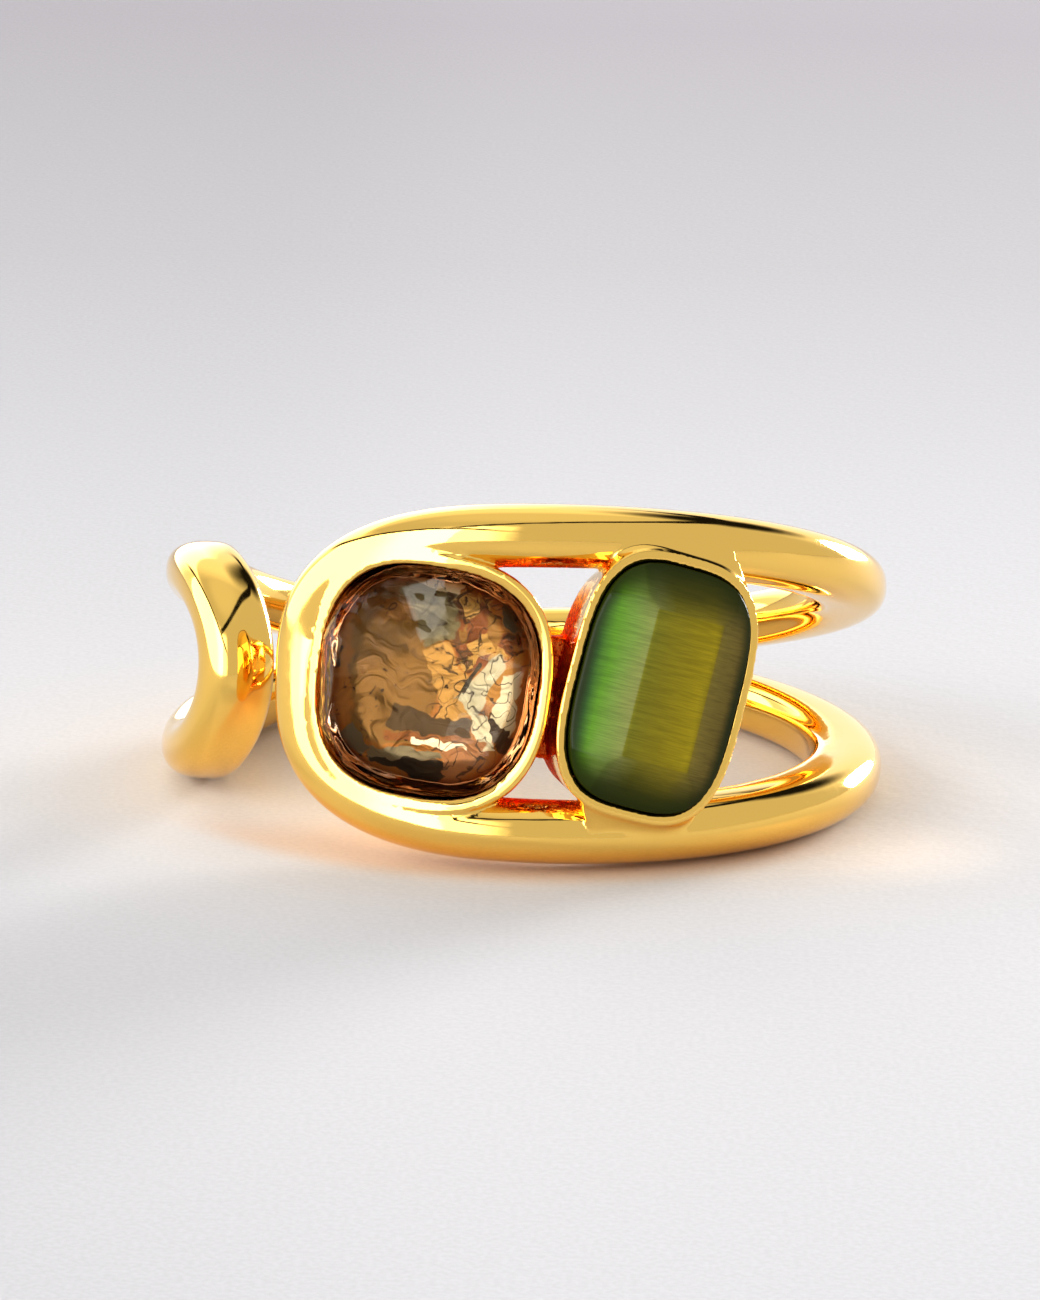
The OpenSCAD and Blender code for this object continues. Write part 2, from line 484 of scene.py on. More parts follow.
@dataclass
class GoldBand:
    """The looped bar with both settings, one piece of polished metal.

    A fade is a limit and the run over which a share falls to nothing at it.
    """

    form: RingForm
    smoky: Setting
    green: Setting
    section_sides: int = 64
    stations: int = 900
    tube_radius: float = 4.0
    hole_sides: int = 288
    through: float = 20.0
    cup_inside: float = 1.0
    green_top: float = 0.001
    voxel: float = 0.055
    smoothing: int = 8
    kept_share: float = 0.21
    ramp_reach: float = 0.8
    ramp_steps: int = 6
    ramp_drop: float = 0.45
    ramp_inset: float = 0.06
    ramp_narrow: float = 0.3
    ramp_corner: tuple = (-2.2, -2.6, 0.0)
    ramp_corner_way: tuple = (-0.795, -0.606, 0.0)
    filler_shift: float = 0.3
    filler_grow: float = 0.66
    filler_base: float = -0.7
    filler_reach: float = 10.66
    filler_end: float = 0.3
    slope_width: float = 0.24
    slope_drop: float = 0.06
    slope_front: float = -9.0
    slope_depth: float = 0.15
    slope_fade: Fade = (0.1, 0.6)
    web_at: float = 5.2
    web_middle: float = 9.05
    web_size: tuple = (1.3, 1.3, 3.5)
    web_level: float = -0.4
    web_bevel: float = 0.3
    crevice_inside: Fade = (-0.1, 0.35)
    crevice_turned: Fade = (0.75, 0.55)
    crevice_low: Fade = (10.1, 0.3)
    crevice_beside: Fade = (9.5, 4.0)
    crevice_behind: Fade = (-0.05, 0.1)
    crevice_between: Fade = (-0.35, 0.25)

    def bar(self) -> bmesh.types.BMesh:
        """Spins a round tube and bends it into the looped bar.

        Returns:
            The bar, in the finger's frame.
        """
        bar = bmesh.new()
        upright = Matrix.Rotation(math.radians(90), 4, "X")
        stand = Matrix.Translation((self.tube_radius, 0, 0)) @ upright
        bmesh.ops.create_circle(bar, radius=1, segments=self.section_sides, matrix=stand)
        bmesh.ops.spin(
            bar, geom=bar.verts[:] + bar.edges[:], cent=(0, 0, 0), axis=(0, 0, 1), dvec=(0, 0, 0),
            angle=math.radians(FULL_TURN), steps=self.stations, use_merge=True, use_duplicate=False,
        )
        for vert in bar.verts:
            way = math.atan2(vert.co.y, vert.co.x) / (2 * math.pi)
            side = math.hypot(vert.co.x, vert.co.y) - self.tube_radius
            vert.co = self.form.bar_point(way, side, vert.co.z)
        return outward(bar)

    def rod(self, radius: float) -> bmesh.types.BMesh:
        """Builds a round rod along the finger axis.

        Args:
            radius: The rod's radius.

        Returns:
            The rod.
        """
        rod = bmesh.new()
        bmesh.ops.create_cone(
            rod, cap_ends=True, segments=self.hole_sides, radius1=radius, radius2=radius,
            depth=self.through,
        )
        return rod

    def cup(self, setting: Setting, top: float) -> bmesh.types.BMesh:
        """Returns a setting's outside, from inside the finger hole up to a level."""
        hole = self.form.finger_radius
        return setting.block(setting.wall, hole - self.cup_inside - setting.seat.reach, top, hole)

    def smoky_cup(self) -> bpy.types.Object:
        """Returns the smoky stone's cup, cut round at the band's outside."""
        cup = loose_object("cup", self.cup(self.smoky, self.smoky.headroom))
        return shaped(cup, self.rod(self.form.outer_radius), Cut.KEEP)

    def ramps(self) -> bmesh.types.BMesh:
        """Builds the ramps that carry the green rim's two ends down into the rails' faces.

        Returns:
            The block, in the finger's frame.
        """
        wall, seat = self.green.wall, self.green.seat
        layers = []
        for number in range(self.ramp_steps + 1):
            share = number / self.ramp_steps
            run = (1 - share) ** 2
            across = wall - self.ramp_inset - self.ramp_narrow * run
            layers.append((across, wall + self.ramp_reach * run, -self.ramp_drop * (1 - share)))
        block = seat.stacked(layers, self.green.sides)
        facet(block, seat.lean @ Vector(self.ramp_corner), seat.lean @ Vector(self.ramp_corner_way))
        block.transform(seat.facing)
        return block

    def web(self) -> bmesh.types.BMesh:
        """Builds the web of solder that holds the two cups together behind their rims.

        Returns:
            The block, in the finger's frame.
        """
        web = bmesh.new()
        turn = Matrix.Rotation(math.radians(self.web_at), 4, "Z")
        spot = Matrix.Translation((0, -self.web_middle, self.web_level))
        size = Matrix.Diagonal((*self.web_size, 1))
        bmesh.ops.create_cube(web, size=1, matrix=turn @ spot @ size)
        bmesh.ops.bevel(
            web, geom=web.edges, offset=self.web_bevel, affect="EDGES", segments=3, profile=0.5,
            material=-1)
        return web

    def face_filler(self) -> bpy.types.Object:
        """Builds the metal that carries the looped end's face up to the smoky stone.

        Returns:
            The filler, in the finger's frame.
        """
        seat, grow = self.smoky.seat, self.filler_grow
        moved = replace(seat, at=seat.at - self.filler_shift * self.form.degrees_per_mm)
        block = moved.tapered(
            ((grow, self.filler_base), (grow, self.smoky.headroom)), self.smoky.sides)
        facet(block, Vector((self.filler_end, 0, 0)), Vector((1, 0, 0)))
        block.transform(moved.facing)
        return shaped(loose_object("filler", block), self.rod(self.filler_reach), Cut.KEEP)

    def mark_crevices(self, band: bpy.types.Object) -> None:
        """Writes how deep each point lies in the windows beside the settings, the mask of the gold's
        painted shade, roughness and pits there.

        Args:
            band: The finished band, in the finger's frame.
        """
        form = self.form
        marks = band.data.attributes.new("crevice", "FLOAT", "POINT")
        gap_middle = (self.smoky.seat.at + self.green.seat.at) / 2
        for vert, mark in zip(band.data.vertices, marks.data):
            radius = math.hypot(vert.co.x, vert.co.y)
            angle = math.degrees(math.atan2(vert.co.x, -vert.co.y))
            facing = (vert.normal.x * vert.co.x + vert.normal.y * vert.co.y) / radius
            inside = below(radius - form.outer_radius, self.crevice_inside)
            turned = max(below(facing, self.crevice_turned), below(radius, self.crevice_low))
            beside = below(abs(angle - gap_middle), self.crevice_beside)
            behind = below(form.finger_radius - radius, self.crevice_behind)
            between = below(abs(vert.co.z) - form.rail_height(angle), self.crevice_between)
            mark.value = inside * turned * beside * behind * between

    def slope_rim(self, band: bpy.types.Object) -> None:
        """Slopes the smoky setting's rim in towards its stone, on the side of the windows.

        Args:
            band: The joined band, in the finger's frame.
        """
        seat = self.smoky.seat
        unplace = (seat.facing @ seat.lean).inverted()
        top = self.form.outer_radius - self.slope_depth
        for vert in band.data.vertices:
            radius = math.hypot(vert.co.x, vert.co.y)
            if vert.co.y > self.slope_front or radius < top:
                continue
            place = unplace @ vert.co
            across, along = place.x / (seat.width / 2), place.y / (seat.height / 2)
            rim = (abs(across) ** seat.square + abs(along) ** seat.square) ** (1 / seat.square)
            off = (1 - 1 / rim) * math.hypot(place.x, place.y)
            near = 1 - min(1.0, max(0.0, off / self.slope_width))
            drop = self.slope_drop * near * below(-across, self.slope_fade)
            vert.co.x -= vert.co.x / radius * drop
            vert.co.y -= vert.co.y / radius * drop

    def thinned(self, band: bpy.types.Object) -> None:
        """Thins the band's mesh, and keeps the fine mesh's shine on it.

        Args:
            band: The polished band, whose mesh is replaced.
        """
        fine = bpy.data.objects.new("fine_band", band.data)
        fine.data.shade_smooth()
        bpy.context.scene.collection.objects.link(fine)
        add_step(band, "DECIMATE", ratio=self.kept_share)
        add_step(
            band, "DATA_TRANSFER", object=fine, use_loop_data=True,
            data_types_loops={"CUSTOM_NORMAL"}, loop_mapping="POLYINTERP_NEAREST")
        applied(band)
        bpy.data.objects.remove(fine)

    def build(self) -> bpy.types.Object:
        """Joins the bar and the settings, and melts their joints smooth.

        Returns:
            The band at rest, in metres.
        """
        hole = self.form.finger_radius
        band = loose_object("gold_band", self.bar())
        cut_with(band, self.smoky_cup(), Cut.JOIN)
        cut_with(band, self.face_filler(), Cut.JOIN)
        for block in (self.ramps(), self.web(), self.cup(self.green, self.green_top)):
            shaped(band, block, Cut.JOIN)
        for block in (self.smoky.pocket(hole), self.green.pocket(hole), self.rod(hole)):
            shaped(band, block, Cut.REMOVE)
        melt(band, self.voxel)
        applied(band)
        self.slope_rim(band)
        polish(band, self.smoothing)
        applied(band)
        self.thinned(band)
        self.mark_crevices(band)
        band.data.transform(self.form.at_rest)
        return band


@dataclass
class Stone:
    """A stone in its seat, a gap clear of the metal."""

    form: RingForm
    seat: Cushion
    gap: float = 0.05

    def blank(self, steps: tuple, sides: int) -> bmesh.types.BMesh:
        """Returns a closed block of outlines inside the seat, each a growth and a level."""
        return self.seat.tapered(steps, sides, -self.gap)

    def laid(self, obj: bpy.types.Object) -> bpy.types.Object:
        """Lays a cut piece at rest, in metres, with a smooth shine.

        Args:
            obj: The piece, on its seat's own plane.

        Returns:
            The same piece.
        """
        obj.data.transform(self.form.at_rest @ self.seat.facing)
        obj.data.shade_smooth()
        return obj


@dataclass
class GreenStone(Stone):
    """The tall green stone: a flat table, two long bevels and softer ends."""

    back: float = -1.8
    waist: float = -0.8
    waist_draw: float = 0.18
    back_draw: float = 0.5
    spare: float = 0.5
    girdle: float = 0.12
    table: float = 0.87
    table_left: float = 0.88
    table_right: float = 1.12
    table_along: float = 2.12
    corner_place: tuple = (1.1, 1.12)
    corner_way: tuple = (0.5, 0.4, 0.9)
    table_fade: Fade = (0.03, 0.02)
    sides: int = 160
    voxel: float = 0.045
    smoothing: int = 4

    def build(self) -> bpy.types.Object:
        """Cuts the stone from a cushion-shaped blank.

        Returns:
            The stone at rest, in metres.
        """
        stone = self.blank((
            (-self.back_draw, self.back), (-self.waist_draw, self.waist), (0.0, 0.0),
            (0.0, self.table + self.spare)), self.sides)
        turn = self.seat.lean
        half_across = self.seat.width / 2 - self.gap
        half_along = self.seat.height / 2 - self.gap
        drop = self.table - self.girdle
        run_along = half_along - self.table_along
        wide, long = self.corner_place
        out, on, up = self.corner_way
        facet(stone, Vector((0, 0, self.table)), Vector((0, 0, 1)))
        for side, reach in ((-1, self.table_left), (1, self.table_right)):
            edge = turn @ Vector((side * reach, 0, self.table))
            facet(stone, edge, turn @ Vector((side * drop, 0, half_across - reach)))
            end = turn @ Vector((0, side * self.table_along, self.table))
            facet(stone, end, turn @ Vector((0, side * drop, run_along)))
            for along in (-1, 1):
                place = Vector((side * reach * wide, along * self.table_along * long, self.table))
                facet(stone, turn @ place, turn @ Vector((side * out, along * on, up)))
        obj = loose_object("green_stone_cut", outward(stone))
        melt(obj, self.voxel)
        polish(obj, self.smoothing)
        applied(obj)
        marks = obj.data.attributes.new("table", "FLOAT", "POINT")
        for vert, mark in zip(obj.data.vertices, marks.data):
            mark.value = below(self.table - vert.co.z, self.table_fade)
        return self.laid(obj)


@dataclass
class SmokyStone(Stone):
    """The smoky stone: an irregular clear crown over a wrinkled golden foil.

    A facet is its angle round the stone, its tilt and its reach from the middle.
    """

    sides: int = 96
    voxel: float = 0.05
    girdle: float = 0.26
    smoothing: int = 5
    swell: float = 0.03
    swell_size: float = 0.9
    swell_shift: tuple = (3.1, 0.0, 0.0)
    ripple: float = 0.018
    ripple_size: float = 2.6
    ripple_shift: tuple = (0.0, 7.7, 0.0)
    melt_fade: Fade = (0.05, 0.35)
    foil_base: float = 0.5
    foil_wave: float = 0.03
    foil_size: float = 1.3
    foil_shift: tuple = (0.0, 0.0, 5.0)
    foil_thickness: float = 0.03
    crown_steps: tuple = ((-1.0, -0.83), (-0.44, -0.58), (-0.1, -0.12), (0.0, 0.05), (0.0, 1.4))
    foil_steps: tuple = ((-0.98, -0.9), (-0.42, -0.66), (-0.08, -0.2))
    facets: tuple = (
        (335, 9, 2.95), (100, 15, 3.25), (50, 13, 3.5), (268, 15, 2.75), (300, 14, 3.0),
        (10, 30, 3.12), (35, 34, 3.3), (66, 28, 3.3), (92, 36, 3.1), (122, 33, 3.0),
        (150, 50, 3.25), (180, 54, 3.08), (212, 50, 3.35), (240, 46, 3.35), (272, 40, 3.08),
        (312, 40, 3.42), (340, 32, 3.2),
    )

    def crown(self) -> bpy.types.Object:
        """Cuts the clear crown and melts its facets a little.

        Returns:
            The crown at rest, in metres.
        """
        crown = self.blank(self.crown_steps, self.sides)
        for around, tilt, reach in self.facets:
            lean, turn = math.radians(tilt), math.radians(around)
            distance = reach * math.sin(lean) + self.girdle * math.cos(lean)
            normal = Vector((
                math.sin(lean) * math.cos(turn), math.sin(lean) * math.sin(turn), math.cos(lean)))
            facet(crown, normal * distance, normal)
        obj = loose_object("smoky_crown", outward(crown))
        melt(obj, self.voxel)
        polish(obj, self.smoothing)
        applied(obj)
        normals = [vert.normal.copy() for vert in obj.data.vertices]
        for vert, normal in zip(obj.data.vertices, normals):
            swell = waved(vert.co, self.swell_size, self.swell_shift)
            ripple = waved(vert.co, self.ripple_size, self.ripple_shift)
            rise = below(-vert.co.z, self.melt_fade)
            vert.co += normal * rise * (self.swell * swell + self.ripple * ripple)
        return self.laid(obj)

    def foil(self) -> bpy.types.Object:
        """Shapes the foil that lies under the crown.

        Returns:
            The foil at rest, in metres.
        """
        foil = self.blank(self.foil_steps, self.sides)
        top = max(foil.faces, key=level_of)
        bmesh.ops.delete(foil, geom=[top], context="FACES_ONLY")
        base = min(foil.faces, key=level_of)
        bmesh.ops.inset_region(foil, faces=[base], thickness=self.foil_base, use_even_offset=True)
        bmesh.ops.poke(foil, faces=[min(foil.faces, key=level_of)])
        bmesh.ops.triangulate(foil, faces=foil.faces)
        bmesh.ops.subdivide_edges(foil, edges=foil.edges, cuts=3, use_grid_fill=True)
        for vert in foil.verts:
            vert.co.z += self.foil_wave * waved(vert.co, self.foil_size, self.foil_shift)
        bmesh.ops.recalc_face_normals(foil, faces=foil.faces)
        bmesh.ops.solidify(foil, geom=foil.faces, thickness=self.foil_thickness)
        return self.laid(loose_object("smoky_foil", outward(foil)))


Feed = bpy.types.NodeSocket | float | tuple
Socket = bpy.types.NodeSocket
IN_MM = Matrix.Scale(MM, 4)


def opaque(red: float, green: float, blue: float) -> tuple[float, float, float, float]:
    """Returns a full colour."""
    return (red, green, blue, 1.0)


def grey(tone: float) -> tuple[float, float, float, float]:
    """Returns a full colour with no hue."""
    return opaque(tone, tone, tone)


class Wiring:
    """Short calls that add nodes to a tree and link them."""

    def __init__(self, tree: bpy.types.NodeTree) -> None:
        """Keeps the tree."""
        self.tree = tree

    def feed(self, node: bpy.types.Node, feeds: dict[str | int, Feed]) -> None:
        """Sets a node's inputs.

        Args:
            node: The node.
            feeds: The value of an input, or the output that feeds it.
        """
        for name, feed in feeds.items():
            if isinstance(feed, Socket):
                self.tree.links.new(feed, node.inputs[name])
            else:
                node.inputs[name].default_value = feed

    def add(self, kind: str, feeds: dict[str | int, Feed], **options: object) -> bpy.types.Node:
        """Adds a node.

        Args:
            kind: Blender's name of the node's type.
            feeds: The value of an input, or the output that feeds it.
            options: The node's own options.

        Returns:
            The new node.
        """
        node = self.tree.nodes.new(kind)
        for option, value in options.items():
            setattr(node, option, value)
        self.feed(node, feeds)
        return node

    def calc(self, operation: str, first: Feed, second: Feed = 0.0, third: Feed = 0.0) -> Socket:
        """Returns a sum, product or the like of values."""
        feeds = {0: first, 1: second, 2: third}
        return self.add("ShaderNodeMath", feeds, operation=operation).outputs[0]

    def plus(self, first: Feed, second: Feed) -> Socket:
        """Returns a sum."""
        return self.calc("ADD", first, second)

    def times(self, first: Feed, second: Feed) -> Socket:
        """Returns a product."""
        return self.calc("MULTIPLY", first, second)

    def larger(self, first: Feed, second: Feed) -> Socket:
        """Returns the larger of two values."""
        return self.calc("MAXIMUM", first, second)

    def less(self, first: Feed, second: Feed) -> Socket:
        """Returns a difference."""
        return self.calc("SUBTRACT", first, second)

    def apart(self, value: Feed, middle: float = 0.5) -> Socket:
        """Returns how far a value lies from a middle one."""
        return self.calc("ABSOLUTE", self.less(value, middle))

    def sway(self, pattern: Feed, size: float) -> Socket:
        """Returns a pattern's sway to either side of nothing."""
        return self.times(self.less(pattern, 0.5), size)

    def vector(self, operation: str, first: Feed, second: Feed = (0.0, 0.0, 0.0),
               output: str = "Vector") -> Socket:
        """Returns a sum, product or the like of vectors, or its one value."""
        node = self.add("ShaderNodeVectorMath", {0: first, 1: second}, operation=operation)
        return node.outputs[output]

    def parts(self, vector: Feed) -> bpy.types.bpy_prop_collection:
        """Returns a vector's three numbers."""
        return self.add("ShaderNodeSeparateXYZ", {0: vector}).outputs

    def joined(self, across: Feed, along: Feed, up: Feed = 0.0) -> Socket:
        """Returns a vector of three numbers."""
        return self.add("ShaderNodeCombineXYZ", {0: across, 1: along, 2: up}).outputs[0]

    def marked(self, name: str) -> Socket:
        """Returns an attribute of the piece."""
        return self.add("ShaderNodeAttribute", {}, attribute_name=name).outputs["Fac"]

    def bump(self, height: Feed, depth: float, strength: float) -> Socket:
        """Returns the normals of a pattern's height, in millimetres of depth."""
        feeds = {"Height": height, "Distance": MM * depth, "Strength": strength}
        return self.add("ShaderNodeBump", feeds).outputs[0]

    def spread(self, value: Feed, low: Feed, high: Feed, start: float = 0.0,
               end: float = 1.0) -> Socket:
        """Fits a value from one range to another, with soft ends.

        Args:
            value: The value.
            low: Start of its own range.
            high: End of its own range.
            start: Result at the start.
            end: Result at the end.

        Returns:
            The fitted value.
        """
        feeds = {0: value, 1: low, 2: high, 3: start, 4: end}
        return self.add("ShaderNodeMapRange", feeds, interpolation_type="SMOOTHSTEP").outputs[0]

    def mixed(self, share: Feed, first: Feed, second: Feed, blend: str = "MIX") -> Socket:
        """Returns two colours mixed by a share of the second, or of their blend."""
        feeds = {0: share, 6: first, 7: second}
        return self.add("ShaderNodeMix", feeds, data_type="RGBA", blend_type=blend).outputs[2]

    def toned(self, colour: Feed, light: Feed) -> Socket:
        """Returns a colour made lighter or darker by a factor."""
        tone = self.add("ShaderNodeCombineColor", {0: light, 1: light, 2: light}).outputs[0]
        return self.mixed(1.0, colour, tone, "MULTIPLY")

    def ramp(self, value: Feed, stops: tuple, steps: str = "LINEAR") -> Socket:
        """Reads a colour from a row of stops.

        Args:
            value: The place along the row.
            stops: Each stop's place and colour.
            steps: Blender's name of the way from stop to stop.

        Returns:
            The colour.
        """
        node = self.add("ShaderNodeValToRGB", {0: value})
        node.color_ramp.interpolation = steps
        points = node.color_ramp.elements
        while len(points) < len(stops):
            points.new(0.5)
        for point, (place, *colour) in zip(points, stops):
            point.position = place
            point.color = opaque(*colour)
        return node.outputs[0]

    def local(self, place: Matrix) -> Socket:
        """Reads Object coordinates as measured from a place on the piece.

        Args:
            place: The place's position, turn and size.

        Returns:
            The coordinates.
        """
        spot, turn, size = place.decompose()
        whole = self.add("ShaderNodeTexCoord", {}).outputs["Object"]
        feeds = {"Vector": whole, "Location": spot, "Rotation": turn.to_euler("XYZ"), "Scale": size}
        return self.add("ShaderNodeMapping", feeds, vector_type="TEXTURE").outputs[0]

    def rim(self, place: Feed, square: float) -> Socket:
        """Measures how near a point lies to a cushion's outline.

        Args:
            place: Coordinates in the cushion's half sizes.
            square: How square the cushion is.

        Returns:
            The share, 0 at the middle and 1 at the outline.
        """
        parts = self.parts(place)
        across, along = (
            self.calc("POWER", self.calc("ABSOLUTE", parts[axis]), square) for axis in (0, 1))
        return self.calc("POWER", self.plus(across, along), 1 / square)


class Effects:
    """Surface effects that several finishes share, as node groups built once."""

    def __init__(self) -> None:
        """Builds the groups."""
        board, inlet = self.begin("polished_swell", {"Size": 0.9, "Detail": 1.0}, "Height")
        wave = board.add("ShaderNodeTexNoise", {
            "Vector": inlet["Vector"], "Scale": inlet["Size"], "Detail": inlet["Detail"],
            "Roughness": 0.45})
        board.add("NodeGroupOutput", {"Height": wave.outputs[0]})
        self.swell = board.tree

        board, inlet = self.begin("fine_specks", {"Size": 9.0, "Low": 0.4, "High": 0.6}, "Mask")
        grain = board.add("ShaderNodeTexNoise", {
            "Vector": inlet["Vector"], "Scale": inlet["Size"], "Detail": 3.0})
        mask = board.spread(grain.outputs[0], inlet["Low"], inlet["High"])
        board.add("NodeGroupOutput", {"Mask": mask})
        self.specks = board.tree

        sizes = {"Across": 0.0, "Along": 0.0, "Turn": 0.0, "Length": 1.0, "Width": 1.0, "Taper": 0.0}
        board, inlet = self.begin("facet_blade", sizes, "Mask")
        moved = board.vector("SUBTRACT", inlet["Vector"], board.joined(inlet["Across"], inlet["Along"]))
        turned = board.add("ShaderNodeVectorRotate", {
            "Vector": moved, "Angle": board.times(inlet["Turn"], -1.0)}, rotation_type="Z_AXIS")
        parts = board.parts(turned.outputs[0])
        run = board.calc("DIVIDE", parts[0], inlet["Length"])
        narrow = board.less(1.0, board.times(run, inlet["Taper"]))
        half = board.times(inlet["Width"], narrow)
        off = board.calc("DIVIDE", board.calc("ABSOLUTE", parts[1]), half)
        ends = board.spread(board.calc("ABSOLUTE", run), 1.0, 0.93)
        board.add("NodeGroupOutput", {"Mask": board.times(ends, board.spread(off, 1.0, 0.88))})
        self.blade = board.tree

    def begin(self, name: str, values: dict[str, float],
              result: str) -> tuple[Wiring, bpy.types.bpy_prop_collection]:
        """Begins a group with its sockets.

        Args:
            name: The group's name.
            values: Names of its number inputs, with their usual values.
            result: Name of its output.

        Returns:
            The group's wiring and what comes in.
        """
        group = bpy.data.node_groups.new(name, "ShaderNodeTree")
        group.interface.new_socket("Vector", in_out="INPUT", socket_type="NodeSocketVector")
        for label, value in values.items():
            socket = group.interface.new_socket(label, in_out="INPUT", socket_type="NodeSocketFloat")
            socket.default_value = value
        group.interface.new_socket(result, in_out="OUTPUT", socket_type="NodeSocketFloat")
        board = Wiring(group)
        return board, board.add("NodeGroupInput", {}).outputs


class Painting(Wiring):
    """The wiring of one finish, with the shared effects at hand."""

    def __init__(self, tree: bpy.types.NodeTree, effects: Effects) -> None:
        """Keeps the tree and the effects."""
        super().__init__(tree)
        self.effects = effects

    def effect(self, group: bpy.types.NodeTree, vector: Feed, **values: float) -> Socket:
        """Places a group with its own values and returns its output."""
        return self.add("ShaderNodeGroup", {"Vector": vector, **values}, node_tree=group).outputs[0]

    def swell(self, vector: Feed, size: float, detail: float) -> Socket:
        """Returns the height of a soft swell."""
        return self.effect(self.effects.swell, vector, Size=size, Detail=detail)

    def specks(self, vector: Feed, size: float, low: float, high: float) -> Socket:
        """Returns a mask of fine specks."""
        return self.effect(self.effects.specks, vector, Size=size, Low=low, High=high)


@dataclass(frozen=True)
class Blade:
    """A straight-sided fleck seen in the stone, in the stone's half sizes and degrees."""

    across: float
    along: float
    turn: float
    half_length: float
    half_width: float
    taper: float
    colour: tuple = (1.0, 1.0, 1.0)

    def mask(self, board: Painting, place: Feed) -> Socket:
        """Draws where the fleck lies.

        Args:
            board: The finish's wiring.
            place: Coordinates in the stone's half sizes.

        Returns:
            The fleck's mask.
        """
        return board.effect(
            board.effects.blade, place, Across=self.across, Along=self.along,
            Turn=math.radians(self.turn), Length=self.half_length, Width=self.half_width,
            Taper=self.taper)

    def laid(self, board: Painting, place: Feed, colour: Feed) -> Socket:
        """Returns a colour with the fleck laid on it."""
        return board.mixed(self.mask(board, place), colour, opaque(*self.colour))


@dataclass(frozen=True)
class Finish:
    """A finish: plain values on its shader, and what changes over the surface.

    A run is the start and the end of a soft step, and its results there if they aren't 0 and 1.
    """

    name: ClassVar[str]
    plain: ClassVar[dict[str, float]]

    def paint(self, board: Painting, place: Feed) -> dict[str, Feed]:
        """Draws what changes over the surface.

        Args:
            board: The finish's wiring.
            place: Coordinates on the piece.

        Returns:
            What feeds the shader's inputs.
        """
        raise NotImplementedError

    def make(self, effects: Effects, spot: Matrix) -> bpy.types.Material:
        """Builds the material.

        Args:
            effects: The shared effects.
            spot: Where the coordinates are measured from, and in what sizes.

        Returns:
            The material.
        """
        material = bpy.data.materials.new(self.name)
        material.use_nodes = True
        board = Painting(material.node_tree, effects)
        shader = material.node_tree.nodes["Principled BSDF"]
        board.feed(shader, self.plain)
        board.feed(shader, self.paint(board, board.local(spot)))
        return material


@dataclass(frozen=True)
class GoldFinish(Finish):
    """Highly polished yellow gold, rougher inside the windows, with painted shade there: redder, darker
    gold.
    """

    name: ClassVar[str] = "polished_gold"
    plain: ClassVar[dict[str, float]] = {"Metallic": 1.0}
    colour: tuple = opaque(0.96, 0.60, 0.13)
    # Painted shade: the redder, darker gold of the recessed windows, on the colour and on the
    # reflection's tint.
    window_shade_colour: tuple = opaque(0.6, 0.13, 0.02)
    roughness: float = 0.05
    mark_roughness: float = 0.035
    deep_roughness: float = 0.22
    swell_height: float = 0.012
    deep_height: float = 0.05

    def paint(self, board: Painting, place: Feed) -> dict[str, Feed]:
        """Draws fine marks, a soft swell, and pits in the windows, with painted shade there: redder,
        darker gold.

        Args:
            board: The finish's wiring.
            place: Coordinates in millimetres.

        Returns:
            What feeds the shader's inputs.
        """
        # Window mask: painted shade there (redder, darker gold and reflection), with rougher, pitted
        # metal.
        deep = board.marked("crevice")
        specks = board.specks(place, size=3.0, low=0.35, high=0.7)
        marks = board.spread(specks, 0.0, 1.0, self.roughness, self.roughness + self.mark_roughness)
        pits = board.times(board.specks(place, size=4.5, low=0.35, high=0.65), deep)
        swell = board.times(board.swell(place, size=0.55, detail=1.0), self.swell_height)
        height = board.plus(swell, board.times(pits, self.deep_height))
        return {
            "Base Color": board.mixed(deep, self.colour, self.window_shade_colour),
            "Specular Tint": board.mixed(deep, grey(1.0), self.window_shade_colour),
            "Roughness": board.calc("MULTIPLY_ADD", deep, self.deep_roughness, marks),
            "Normal": board.bump(height, 1.0, 1.0),
        }


